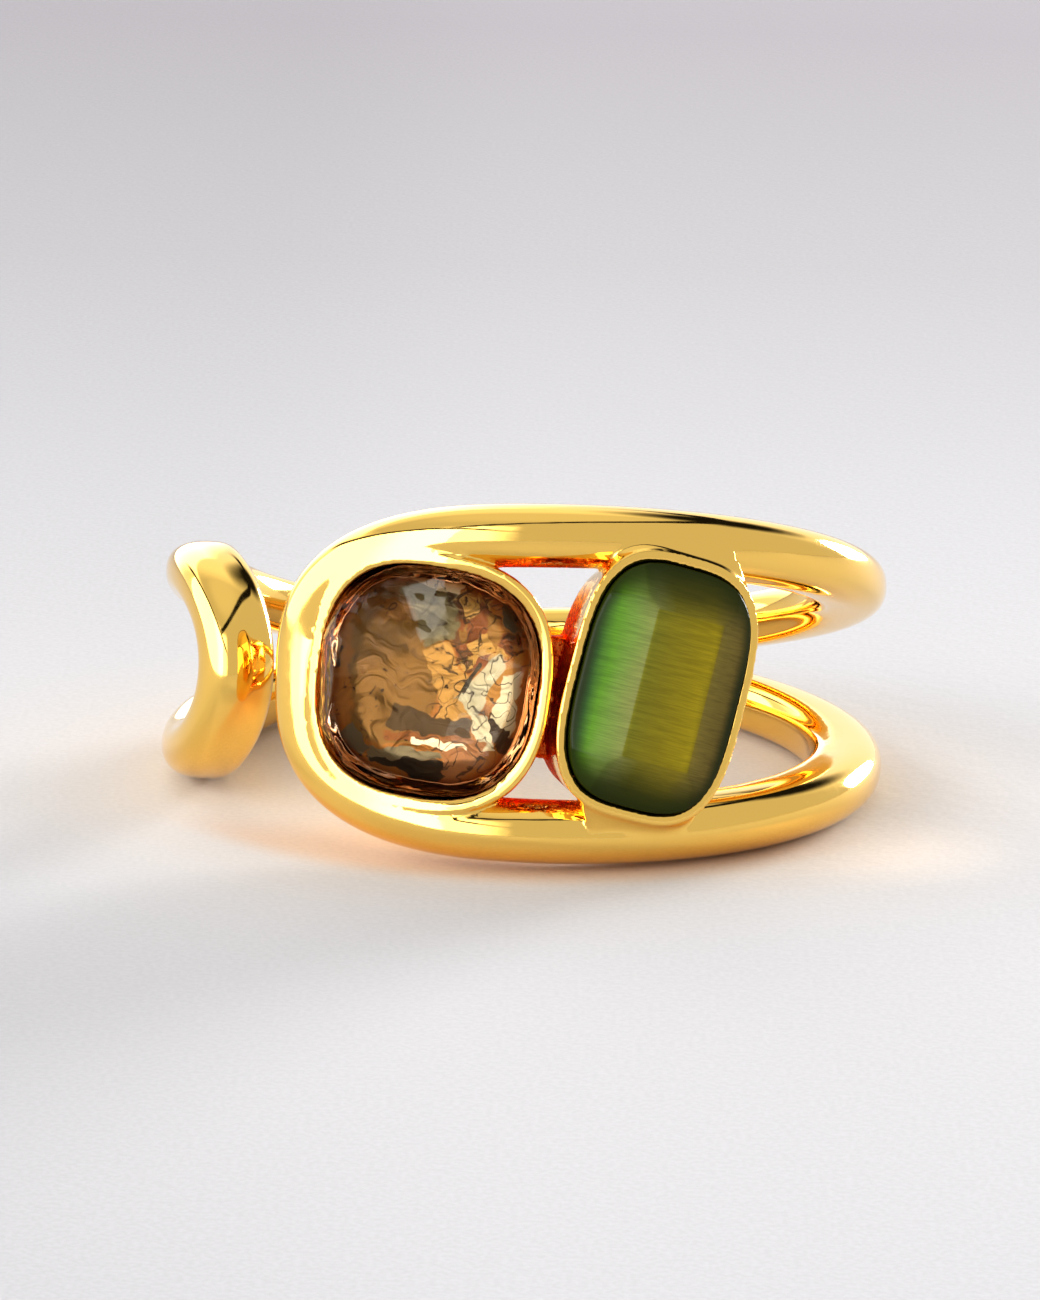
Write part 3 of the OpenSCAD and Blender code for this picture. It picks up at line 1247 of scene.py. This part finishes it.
@dataclass(frozen=True)
class CatsEyeFinish(Finish):
    """Silky olive green stone under a clear polish, with painted light: a bright green edge and a paler
    painted reflection beside the table.
    """

    name: ClassVar[str] = "silky_green_stone"
    plain: ClassVar[dict[str, float]] = {
        "Roughness": 0.45, "Specular IOR Level": 0.0, "Coat Weight": 0.15, "Coat Roughness": 0.02,
        "Coat IOR": 1.55}
    # Bevel colours by lane: the stone's own olive, with painted light: the bright green edge where light
    # comes through, and a paler grey-green painted reflection next to the table.
    bevel_colours_and_light: tuple = (
        (0.0, 0.004, 0.008, 0.002), (0.05, 0.02, 0.07, 0.01), (0.12, 0.075, 0.19, 0.01),
        (0.2, 0.12, 0.2, 0.03), (0.31, 0.17, 0.18, 0.045), (0.42, 0.16, 0.135, 0.01),
        (0.68, 0.2, 0.15, 0.01), (0.76, 0.16, 0.12, 0.02), (0.88, 0.12, 0.085, 0.014),
        (1.0, 0.02, 0.02, 0.003),
    )
    # Table colours by lane; the crisp change from bevel to table is painted, standing in for how each
    # facet takes the light.
    table: tuple = (
        (0.25, 0.12, 0.13, 0.012), (0.42, 0.17, 0.14, 0.008), (0.6, 0.215, 0.165, 0.006),
        (0.69, 0.245, 0.185, 0.006), (0.78, 0.18, 0.135, 0.008),
    )
    shade: tuple = opaque(0.012, 0.018, 0.001)
    wander: float = 0.12
    fibre_stretch: tuple = (1.2, 30.0, 1.0)
    thread_stretch: tuple = (3.0, 90.0, 1.0)
    silk_light: tuple = (0.84, 1.2)
    head_shade: tuple = (0.48, 0.85, 0.0, 0.85)
    foot_shade: tuple = (-0.5, -0.88, 0.0, 0.9)
    outline_square: float = 3.4
    rim_shade: tuple = (0.8, 1.0)

    def paint(self, board: Painting, place: Feed) -> dict[str, Feed]:
        """Draws the lanes of colour with their painted light, the silk and the shaded ends.

        Args:
            board: The finish's wiring.
            place: Coordinates in the stone's half sizes.

        Returns:
            What feeds the shader's inputs.
        """
        across, along, _ = board.parts(place)
        drift = board.sway(board.swell(place, size=1.6, detail=2.0), self.wander)
        lane = board.plus(board.plus(board.times(across, 0.5), 0.5), drift)
        # Bevels and table painted apart: the lanes carry painted light as well as the stone's colour.
        colour = board.mixed(
            board.marked("table"), board.ramp(lane, self.bevel_colours_and_light), board.ramp(lane, self.table))
        fibres = board.vector("MULTIPLY", place, self.fibre_stretch)
        threads = board.vector("MULTIPLY", place, self.thread_stretch)
        silk = board.plus(
            board.specks(fibres, size=1.3, low=0.3, high=0.7),
            board.specks(threads, size=1.5, low=0.35, high=0.65))
        light = board.spread(board.times(silk, 0.5), 0.0, 1.0, *self.silk_light)
        colour = board.toned(colour, light)
        way = board.plus(along, drift)
        ends = board.larger(board.spread(way, *self.head_shade), board.spread(way, *self.foot_shade))
        colour = board.mixed(ends, colour, self.shade)
        rim = board.spread(board.rim(place, self.outline_square), *self.rim_shade)
        return {"Base Color": board.mixed(rim, colour, self.shade)}


@dataclass(frozen=True)
class SmokyFinish(Finish):
    """Clear smoky glass with a molten surface, deep red-brown round its edge."""

    name: ClassVar[str] = "smoky_glass"
    plain: ClassVar[dict[str, float]] = {"Roughness": 0.0, "IOR": 1.42, "Transmission Weight": 1.0}
    tint: tuple = opaque(0.84, 0.75, 0.58)
    edge: tuple = opaque(0.36, 0.1, 0.02)
    faint: tuple = opaque(0.13, 0.11, 0.08)
    warm: tuple = opaque(0.2, 0.09, 0.03)
    bright: tuple = opaque(0.8, 0.76, 0.64)
    outline_square: float = 2.6
    wander: float = 0.12
    edge_run: tuple = (0.78, 0.9)
    front_run: tuple = (0.02, 0.12)
    wave_depth: float = 0.05
    shine: tuple = (
        Blade(-0.04, 0.62, -65, 0.26, 0.17, 0.2), Blade(0.55, -0.15, 75, 0.5, 0.22, 0.0),
        Blade(-0.9, 0.0, 82, 0.3, 0.05, 0.0),
    )

    def paint(self, board: Painting, place: Feed) -> dict[str, Feed]:
        """Draws the darker edge, the waves and where the surface shines.

        Args:
            board: The finish's wiring.
            place: Coordinates in the stone's half sizes.

        Returns:
            What feeds the shader's inputs.
        """
        drift = board.sway(board.swell(place, size=2.0, detail=2.0), self.wander)
        rim = board.plus(board.rim(place, self.outline_square), drift)
        outer = board.spread(rim, *self.edge_run)
        wave = board.swell(place, size=3.2, detail=1.5)
        show = reduce(board.larger, (blade.mask(board, place) for blade in self.shine))
        sheen = board.mixed(outer, self.faint, self.warm)
        sheen = board.mixed(show, sheen, self.bright)
        front = board.spread(board.parts(place)[2], *self.front_run)
        return {
            "Base Color": board.mixed(outer, self.tint, self.edge),
            "Specular Tint": board.mixed(front, grey(0.0), sheen),
            "Normal": board.bump(wave, self.wave_depth, 1.0),
        }


@dataclass(frozen=True)
class FoilFinish(Finish):
    """Crinkled foil: tan and gold, with silver shards and a dark red-brown edge; much of its colour is
    painted light: darker and brighter areas, painted reflections in the shards and painted highlights.
    """

    name: ClassVar[str] = "crinkled_foil"
    plain: ClassVar[dict[str, float]] = {"Metallic": 0.5, "Roughness": 0.3}
    brown: tuple = opaque(0.31, 0.12, 0.02)
    edge: tuple = opaque(0.17, 0.048, 0.009)
    streak: tuple = opaque(0.42, 0.15, 0.025)
    dark: tuple = opaque(0.03, 0.012, 0.005)
    # Broad areas on the brown: the foil's tan and gold, with painted light: the left ones painted darker
    # and the middle gold one brighter, for how the foil's facets reflect.
    fields_and_painted_light: tuple = (
        Blade(-0.34, -0.02, 90, 0.56, 0.4, 0.0, (0.175, 0.09, 0.019)),
        Blade(-0.45, 0.6, 90, 0.2, 0.2, 0.0, (0.15, 0.065, 0.013)),
        Blade(0.14, 0.02, -66, 0.36, 0.15, -0.2, (0.42, 0.24, 0.068)),
        Blade(0.02, -0.36, -5, 0.38, 0.09, 0.0, (0.045, 0.022, 0.006)),
        Blade(0.0, -0.49, -2, 0.36, 0.05, 0.0, (0.2, 0.065, 0.012)),
    )
    mosaic_at: Blade = Blade(0.31, 0.5, 120, 0.33, 0.21, 0.2)
    mosaic: tuple = (
        (0.0, 0.18, 0.05, 0.012), (0.3, 0.24, 0.12, 0.025), (0.5, 0.42, 0.25, 0.07),
        (0.75, 0.1, 0.035, 0.01),
    )
    # Small blades: foil shards and dark lines, with painted highlights and reflections among them.
    flecks_and_highlights: tuple = (
        Blade(-0.08, 0.6, -65, 0.26, 0.2, 0.25, (0.14, 0.125, 0.075)),
        Blade(-0.1, 0.8, -10, 0.22, 0.045, 0.0, (0.7, 0.72, 0.64)),
        # Silver-white shard: a painted reflection off the foil.
        Blade(0.43, 0.03, 60, 0.29, 0.11, 0.35, (0.44, 0.44, 0.38)),
        Blade(0.63, 0.1, 57, 0.26, 0.07, -0.3, (0.36, 0.17, 0.03)),
        # Two silver-white shards, on this line and the next: painted reflections off the foil.
        Blade(0.66, -0.12, 85, 0.3, 0.09, 0.2, (0.6, 0.6, 0.52)),
        Blade(0.5, -0.38, -68, 0.16, 0.09, 0.0, (0.52, 0.52, 0.46)),
        Blade(0.65, -0.36, -55, 0.18, 0.06, -0.3, (0.03, 0.012, 0.006)),
        Blade(0.3, 0.06, 62, 0.2, 0.022, 0.3, (0.02, 0.014, 0.008)),
        Blade(-0.15, -0.66, 3, 0.34, 0.06, 0.6, (0.17, 0.15, 0.11)),
        Blade(-0.12, -0.75, -3, 0.36, 0.055, -0.5, (0.012, 0.006, 0.003)),
        Blade(0.3, -0.64, -85, 0.18, 0.17, 0.7, (0.28, 0.12, 0.05)),
        # A thin painted highlight.
        Blade(0.12, -0.53, -2, 0.26, 0.03, 0.5, (0.95, 0.85, 0.76)),
        Blade(-0.62, -0.6, -35, 0.14, 0.07, 0.0, (0.12, 0.11, 0.09)),
        Blade(0.6, 0.6, -65, 0.15, 0.05, 0.3, (0.05, 0.055, 0.045)),
        # A thin silver sliver at the left, with its dark core on the next line: a painted highlight.
        Blade(-0.87, 0.02, 80, 0.2, 0.025, 0.3, (0.7, 0.7, 0.66)),
        Blade(-0.83, 0.0, 80, 0.17, 0.018, 0.0, (0.02, 0.015, 0.01)),
    )
    drift_sway: float = 0.16
    jag_sway: float = 0.1
    cell_scale: float = 7.0
    fold_stretch: tuple = (0.8, 3.2, 1.0)
    crease_line: tuple = (0.004, 0.013, 0.5, 0.0)
    scallop_line: tuple = (0.008, 0.02, 0.9, 0.0)
    lively_right: tuple = (-0.15, 0.1)
    lively_top: tuple = (0.3, 0.5)
    outline_square: float = 2.6
    streak_stretch: float = 1.2
    streak_across: float = 10.0
    rim_sway: float = 0.4
    rim_run: tuple = (0.83, 0.9)
    fold_depth: float = 0.12
    fold_strength: float = 0.7

    def rim_colour(self, board: Painting, place: Feed, rim: Feed) -> Socket:
        """Draws the streaks that run in from the edge.

        Args:
            board: The finish's wiring.
            place: Coordinates in the stone's half sizes.
            rim: How near the edge a point lies.

        Returns:
            The edge's colour.
        """
        stretch = (self.streak_stretch, self.streak_stretch, 1.0)
        parts = board.parts(board.vector("MULTIPLY", place, stretch))
        lane = board.joined(board.times(rim, self.streak_across), parts[0], parts[1])
        grain = board.specks(lane, size=1.4, low=0.5, high=0.66)
        return board.mixed(grain, self.edge, self.streak)

    def paint(self, board: Painting, place: Feed) -> dict[str, Feed]:
        """Draws the broad areas with their painted light, the mosaic, the creases, each fleck with the
        painted highlights and reflections among them, and the edge.

        Args:
            board: The finish's wiring.
            place: Coordinates in the stone's half sizes.

        Returns:
            What feeds the shader's inputs.
        """
        drift = board.swell(place, size=2.4, detail=2.0)
        jag = board.swell(place, size=10.0, detail=2.0)
        sway = board.plus(board.sway(drift, self.drift_sway), board.sway(jag, self.jag_sway))
        bent = board.vector("ADD", place, sway)

        colour = self.brown
        # Lays the broad areas, with their painted light.
        for blade in self.fields_and_painted_light:
            colour = blade.laid(board, bent, colour)
        cells = board.add("ShaderNodeTexVoronoi", {"Vector": bent, "Scale": self.cell_scale})
        pick = board.add("ShaderNodeSeparateColor", {0: cells.outputs["Color"]}).outputs[0]
        small = board.ramp(pick, self.mosaic, "CONSTANT")
        colour = board.mixed(self.mosaic_at.mask(board, bent), colour, small)

        curl = board.vector("MULTIPLY", board.vector("ADD", place, drift), self.fold_stretch)
        fold = board.swell(curl, size=1.6, detail=2.0)
        crease = board.spread(board.apart(fold), *self.crease_line)
        colour = board.mixed(crease, colour, self.dark)
        specks = board.specks(place, size=16.0, low=0.3, high=0.38)
        colour = board.mixed(board.less(1.0, specks), colour, self.dark)
        # Lays the small blades, painted highlights and reflections among them.
        for blade in self.flecks_and_highlights:
            colour = blade.laid(board, bent, colour)
        scallop = board.apart(board.swell(bent, size=5.5, detail=1.0))
        right, up, _ = board.parts(bent)
        lively = board.larger(
            board.spread(right, *self.lively_right), board.spread(up, *self.lively_top))
        line = board.times(board.spread(scallop, *self.scallop_line), lively)
        colour = board.mixed(line, colour, self.dark)

        rim = board.rim(place, self.outline_square)
        ring = self.rim_colour(board, place, rim)
        near = board.spread(board.plus(rim, board.times(sway, self.rim_sway)), *self.rim_run)
        return {
            "Base Color": board.mixed(near, colour, ring),
            "Normal": board.bump(fold, self.fold_depth, self.fold_strength),
        }


@dataclass(frozen=True)
class PaperFinish(Finish):
    """Matt white paper with painted light: darker away from the ring and at its left, with the gold's
    glow and warm bounce painted beside it.
    """

    name: ClassVar[str] = "paper"
    plain: ClassVar[dict[str, float]] = {"Roughness": 0.85, "Specular IOR Level": 0.2}
    # Painted fall of light: the paper darker with distance behind the ring, for light that dims away from
    # the lamps.
    light_falloff_tones: tuple = (
        (0.0, 0.545, 0.537, 0.545), (0.35, 0.425, 0.416, 0.43), (0.55, 0.368, 0.358, 0.368),
        (1.0, 0.295, 0.278, 0.297),
    )
    depth: float = 160.0
    front_share: float = -0.5
    front_most: float = 30.0
    # Painted shade: the paper a little darker at the left.
    left_shade_run: tuple = (-14.0, 2.0, 0.925, 1.0)
    # Painted pool of light: the glow that the gold throws on the paper beside its right side.
    glow: tuple = opaque(0.76, 0.69, 0.64)
    glow_at: tuple = (10.5, -6.8, 0.0)
    glow_run: tuple = (4.8, 0.0, 0.0, 0.9)
    # Painted bounce light: a warm tint close round the ring.
    warm: tuple = opaque(0.62, 0.545, 0.475)
    warm_bounce_run: tuple = (19.0, 8.0, 0.0, 0.45)
    # Painted warm shade and bounce just in front of the ring's foot.
    bounce: tuple = opaque(0.6, 0.38, 0.22)
    bounce_run: tuple = (12.0, 10.4, 0.0, 0.6)
    bounce_front: tuple = (-4.0, -8.0)
    grain_light: tuple = (0.955, 1.03)
    tooth_depth: float = 0.03
    tooth_strength: float = 0.6

    def paint(self, board: Painting, place: Feed) -> dict[str, Feed]:
        """Draws the painted fall of light over the paper and its painted shade at the left, the warm
        light that the ring throws on it, painted, and its grain.

        Args:
            board: The finish's wiring.
            place: Coordinates in millimetres.

        Returns:
            What feeds the shader's inputs.
        """
        across, along, _ = board.parts(place)
        ahead = board.calc("MINIMUM", board.times(along, self.front_share), self.front_most)
        away = board.larger(along, ahead)
        colour = board.ramp(board.calc("DIVIDE", away, self.depth), self.light_falloff_tones)
        beside = board.vector("DISTANCE", place, self.glow_at, "Value")
        colour = board.mixed(board.spread(beside, *self.glow_run), colour, self.glow)
        whole = board.vector("LENGTH", place, output="Value")
        colour = board.mixed(board.spread(whole, *self.warm_bounce_run), colour, self.warm)
        close = board.times(
            board.spread(whole, *self.bounce_run), board.spread(along, *self.bounce_front))
        colour = board.mixed(close, colour, self.bounce)
        grain = board.specks(place, size=6.0, low=0.2, high=0.8)
        # Painted shade at the left, with the paper's own grain.
        light = board.times(
            board.spread(across, *self.left_shade_run), board.spread(grain, 0.0, 1.0, *self.grain_light))
        tooth = board.swell(place, size=1.5, detail=5.0)
        return {
            "Base Color": board.toned(colour, light),
            "Normal": board.bump(tooth, self.tooth_depth, self.tooth_strength),
        }


@dataclass
class Studio:
    """The paper, the lights and the camera, in millimetres and degrees.

    A run is the start and the end of a soft step, and its results there if they aren't 0 and 1.
    """

    form: RingForm
    floor_half: float = 1500.0
    room_tone: float = 0.72
    bright_tone: float = 1.3
    shoulder_tone: float = 3.4
    dark_tone: float = 0.01
    bright_at: float = -93.0
    bright_run: tuple = (-0.03, 0.12)
    bright_height: tuple = (0.72, 0.62)
    shoulder_run: tuple = (0.0, 0.2)
    shoulder_end: tuple = (0.8, 0.6)
    shoulder_height: tuple = (0.66, 0.6)
    ceiling_run: tuple = (0.8, 0.98, 0.0, 0.3)
    behind_at: tuple = (180.0, 25.0)
    behind_run: tuple = (0.55, 0.85)
    strip_axis: tuple = (-0.445, 0.251, 0.860)
    strip_middle: float = 0.549
    strip_run: tuple = (0.03, 0.05, 1.0, 0.0)
    strip_side: float = 70.0
    strip_side_run: tuple = (-0.3, -0.1)
    frame_rise: float = 40.0
    frame_middle: float = 0.04
    frame_run: tuple = (0.028, 0.044, 1.0, 0.0)
    frame_front_run: tuple = (0.3, 0.5)
    flag_at: tuple = (145.0, 41.0)
    flag_reach: tuple = (22.0, 8.0)
    side_light_at: float = -72.0
    side_light_away: float = 900.0
    side_light_size: tuple = (1960.0, 760.0)
    side_light_watts: float = 16.0
    back_light_at: tuple = (140.0, 7.0)
    back_light_away: float = 900.0
    back_light_size: float = 400.0
    back_light_watts: float = 19.0
    view_away: float = 190.0
    view_rise: float = 13.7
    view_roll: float = -1.587
    view_scale: float = 33.3
    view_right: float = 3.9
    view_down: float = 15.57
    lens: float = 175.2

    def heading(self, around: float, rise: float = 0.0) -> Vector:
        """Finds a direction in the room.

        Args:
            around: The angle round the ring from its front.
            rise: The angle above the level.

        Returns:
            The direction.
        """
        turn, lift = math.radians(around), math.radians(rise)
        level = math.cos(lift)
        return Vector((level * math.sin(turn), -level * math.cos(turn), math.sin(lift)))

    def paper(self, effects: Effects) -> None:
        """Lays the paper.

        Args:
            effects: The shared effects.
        """
        shape = bmesh.new()
        bmesh.ops.create_grid(shape, x_segments=1, y_segments=1, size=self.floor_half * MM)
        floor = loose_object("paper_floor", shape)
        floor.data.materials.append(PaperFinish().make(effects, IN_MM))

    def toward(self, board: Wiring, out: Feed, *place: float) -> Socket:
        """Returns how nearly the direction looked in is that of a place in the room."""
        return board.vector("DOT_PRODUCT", out, self.heading(*place), "Value")

    def darkness(self, board: Wiring, out: Feed) -> Socket:
        """Draws the dark strip overhead, the dark flag and the side light's dark frame.

        Args:
            board: The room's wiring.
            out: The direction looked in.

        Returns:
            Where the room is dark.
        """
        strip = board.vector("DOT_PRODUCT", out, self.strip_axis, "Value")
        strip = board.spread(board.apart(strip, self.strip_middle), *self.strip_run)
        side = self.toward(board, out, self.strip_side)
        strip = board.times(strip, board.spread(side, *self.strip_side_run))
        flag_run = (math.cos(math.radians(angle)) for angle in self.flag_reach)
        flag = board.spread(self.toward(board, out, *self.flag_at), *flag_run)
        over = self.toward(board, out, self.side_light_at + 180, 90 - self.frame_rise)
        edge = board.spread(board.apart(over, self.frame_middle), *self.frame_run)
        front = board.spread(self.toward(board, out, self.side_light_at), *self.frame_front_run)
        return board.larger(board.larger(strip, flag), board.times(edge, front))

    def room(self) -> None:
        """Makes the room's even light, brighter at the left, above and behind, with dark flags."""
        world = bpy.data.worlds.new("studio_room")
        world.use_nodes = True
        board = Wiring(world.node_tree)
        out = board.add("ShaderNodeTexCoord", {}).outputs["Generated"]
        left = self.toward(board, out, self.bright_at)
        behind = self.toward(board, out, *self.behind_at)
        height = board.parts(out)[2]
        bright = board.times(
            board.spread(left, *self.bright_run), board.spread(height, *self.bright_height))
        bright = board.larger(bright, board.spread(height, *self.ceiling_run))
        bright = board.larger(bright, board.spread(behind, *self.behind_run))
        shoulder = board.times(
            board.spread(left, *self.shoulder_run), board.spread(left, *self.shoulder_end))
        shoulder = board.times(shoulder, board.spread(height, *self.shoulder_height))
        colour = board.mixed(bright, grey(self.room_tone), grey(self.bright_tone))
        colour = board.mixed(shoulder, colour, grey(self.shoulder_tone))
        colour = board.mixed(self.darkness(board, out), colour, grey(self.dark_tone))
        board.feed(world.node_tree.nodes["Background"], {"Color": colour})
        bpy.context.scene.world = world

    def light(self, name: str, spot: Vector, size: tuple[float, float], watts: float,
              shape: str) -> None:
        """Hangs a soft light that faces the ring.

        Args:
            name: The light's name.
            spot: Its middle.
            size: Its width and height.
            watts: Its power.
            shape: Blender's name of its outline.
        """
        lamp = bpy.data.lights.new(name, "AREA")
        lamp.shape = shape
        lamp.size, lamp.size_y = size[0] * MM, size[1] * MM
        lamp.energy = watts
        obj = bpy.data.objects.new(name, lamp)
        obj.location = spot * MM
        facing = Vector((-spot.x, -spot.y, 0 if shape == "RECTANGLE" else -spot.z))
        obj.rotation_euler = facing.to_track_quat("-Z", "Y").to_euler()
        obj.visible_camera = False
        bpy.context.scene.collection.objects.link(obj)

    def lights(self) -> None:
        """Stands the two soft lights round the ring."""
        side = self.heading(self.side_light_at) * self.side_light_away
        side.z = self.side_light_size[1] / 2
        self.light("side_softbox", side, self.side_light_size, self.side_light_watts, "RECTANGLE")
        back = self.heading(*self.back_light_at) * self.back_light_away
        size = (self.back_light_size, self.back_light_size)
        self.light("back_softbox", back, size, self.back_light_watts, "DISK")

    def camera(self) -> None:
        """Sets the camera at the photograph's angle."""
        rise, roll = math.radians(self.view_rise), math.radians(self.view_roll)
        level = Vector((1, 0, 0))
        lift = Vector((0, math.sin(rise), math.cos(rise)))
        ahead = Vector((0, math.cos(rise), -math.sin(rise)))
        right = math.cos(roll) * level - math.sin(roll) * lift
        up = math.sin(roll) * level + math.cos(roll) * lift
        middle = Vector((0, self.form.centre_back, self.form.centre_height))
        slide = self.view_right * right - self.view_down * up
        spot = middle - self.view_away * ahead - slide / self.view_scale
        data = bpy.data.cameras.new("camera")
        data.lens = self.lens
        data.clip_start = 0.01
        camera = bpy.data.objects.new("camera", data)
        basis = Matrix((right, up, -ahead)).transposed().to_4x4()
        camera.matrix_world = Matrix.Translation(spot * MM) @ basis
        bpy.context.scene.collection.objects.link(camera)
        bpy.context.scene.camera = camera


def report(piece: bpy.types.Object) -> None:
    """Logs a piece's name and size."""
    LOG.info("%s: %d faces", piece.name, len(piece.data.polygons))


def main() -> None:
    """Builds the ring's pieces and the studio in order."""
    logging.basicConfig(level=logging.INFO, format="%(message)s")
    form = RingForm()
    smoky_seat = Cushion(at=-15.4, width=6.55, height=6.6, square=2.63, turn=-7.2, reach=10.2)
    green_seat = Cushion(at=20.3, width=4.95, height=7.1, square=3.2, turn=-13.5, reach=11.05)
    smoky_setting = Setting(smoky_seat, wall=0.36, draft=0.5, depth=1.05)
    green_setting = Setting(green_seat, wall=0.28, draft=0.42, depth=1.9)
    effects = Effects()

    band = GoldBand(form, smoky_setting, green_setting).build()
    band.data.materials.append(GoldFinish().make(effects, IN_MM))
    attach(band, "root")
    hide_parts("wrap_band")
    report(band)

    green = GreenStone(form, green_seat).build()
    green.data.materials.append(CatsEyeFinish().make(effects, green_seat.half_sizes(form)))
    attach(green, "root")
    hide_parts("green_stone")
    report(green)

    smoky = SmokyStone(form, smoky_seat)
    crown = smoky.crown()
    crown.data.materials.append(SmokyFinish().make(effects, smoky_seat.half_sizes(form)))
    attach(crown, "root")
    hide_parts("smoky_stone")
    report(crown)
    foil = smoky.foil()
    foil.data.materials.append(FoilFinish().make(effects, smoky_seat.half_sizes(form)))
    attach(foil, "root")
    report(foil)

    studio = Studio(form)
    studio.paper(effects)
    studio.room()
    studio.lights()
    studio.camera()
    bpy.context.scene.view_settings.view_transform = "Standard"


if __name__ == "__main__":
    main()
